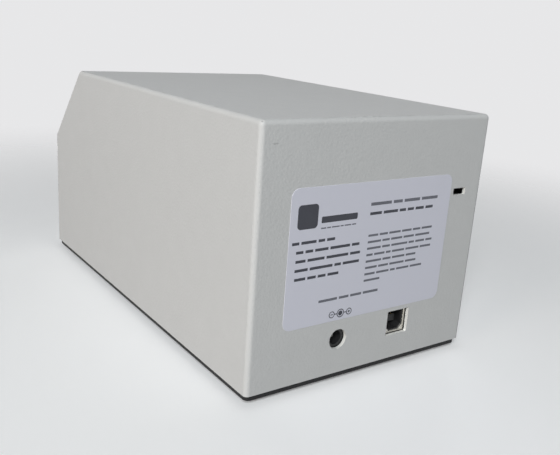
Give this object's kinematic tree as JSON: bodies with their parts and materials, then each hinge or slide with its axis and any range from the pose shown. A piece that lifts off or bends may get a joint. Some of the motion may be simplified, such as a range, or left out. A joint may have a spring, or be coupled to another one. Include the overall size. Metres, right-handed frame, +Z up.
{
  "type": "automated cell counter",
  "caption": "Bench cell counter in a folded metal case with a sloped front, slide slot, thumb-wheel focus and rear data and power sockets.",
  "frame": {"origin": "on the surface that the feet stand on, under the middle of the instrument", "axes": "+Z up, -Y towards the front with the slide slot, +X towards the user's right, +Y along the depth"},
  "size_m": [0.12, 0.2246, 0.111],
  "materials": {
    "cover_paint": "fine textured powder coat",
    "base_black": "black powder coat",
    "welded_steel": "the cover's own coat",
    "foot_rubber": "matt",
    "label_film": "printed satin film",
    "black_moulding": "moulded, fine grain",
    "light_pipe": "clear moulded",
    "machined_aluminium": "machined, clear anodised",
    "black_anodised": "matt black anodised",
    "bright_steel": "plated steel",
    "bronze": "turned",
    "front_mirror": "front-silvered glass",
    "optical_glass": "polished",
    "board_green": "solder-resist coated",
    "chip_black": "moulded",
    "capacitor_sleeve": "shrunk sleeve",
    "plated_shell": "tin-plated",
    "connector_white": "moulded",
    "emitter": "clear dome on a white base",
    "cable_jacket": "satin"
  },
  "bodies": {
    "instrument": {"base_plate": "base_black", "bearing_bracket": "machined_aluminium", "board_connectors": "connector_white", "board_standoffs": "machined_aluminium", "camera_bracket": "machined_aluminium", "camera_cable": "cable_jacket", "camera_housing": "black_anodised", "camera_tube": "black_anodised", "capacitors": "capacitor_sleeve", "condenser_lens": "optical_glass", "condenser_tube": "black_anodised", "controller_chip": "chip_black", "cover": "cover_paint", "cover_lug_front_left": "welded_steel", "cover_lug_front_right": "welded_steel", "cover_lug_rear_left": "welded_steel", "cover_lug_rear_right": "welded_steel", "data_socket_core": "black_moulding", "data_socket_shell": "plated_shell", "flat_head_screws": "bright_steel", "fold_mirror": "front_mirror", "foot_front_left": "foot_rubber", "foot_front_right": "foot_rubber", "foot_rear_left": "foot_rubber", "foot_rear_right": "foot_rubber", "guide_rod_left": "bright_steel", "guide_rod_right": "bright_steel", "image_sensor": "chip_black", "lamp_block": "machined_aluminium", "lamp_cable": "cable_jacket", "lamp_emitter": "emitter", "long_screws": "bright_steel", "lower_screw_bush": "bronze", "main_board": "board_green", "mirror_block": "black_anodised", "power_jack": "black_moulding", "power_jack_pin": "plated_shell", "power_light": "light_pipe", "rail_screws": "bright_steel", "rating_label": "label_film", "sensor_board": "board_green", "short_screws": "bright_steel", "slide_bezel": "black_moulding", "slide_guide": "black_moulding", "slide_spring_left": "bright_steel", "slide_spring_right": "bright_steel", "stage_plate": "machined_aluminium", "stage_posts": "machined_aluminium", "upper_screw_bush": "bronze", "upright_frame": "machined_aluminium"},
    "focus_drive": {"focus_wheel": "black_moulding", "hub_set_screw": "bright_steel", "lead_screw": "bright_steel", "retaining_ring": "bright_steel"},
    "objective_carriage": {"focus_carriage": "machined_aluminium", "focus_nut": "bronze", "objective_barrel": "black_anodised", "objective_lens": "optical_glass", "rod_bush_left": "bronze", "rod_bush_right": "bronze"}
  },
  "joints": [
    {"name": "focus_wheel_turn", "type": "hinge", "parent": "instrument", "child": "focus_drive", "pos_m": [0.0385, -0.09433, 0.0425], "axis": [0, 0, 1], "range_deg": [-720, 720]},
    {"name": "focus_lift", "type": "slide", "parent": "instrument", "child": "objective_carriage", "axis": [0, 0, 1], "range_m": [-0.001, 0.001]}
  ],
  "couplings": [
    {"joint": "focus_wheel_turn", "follows": "focus_lift", "rad_per_m": 12566}
  ]
}
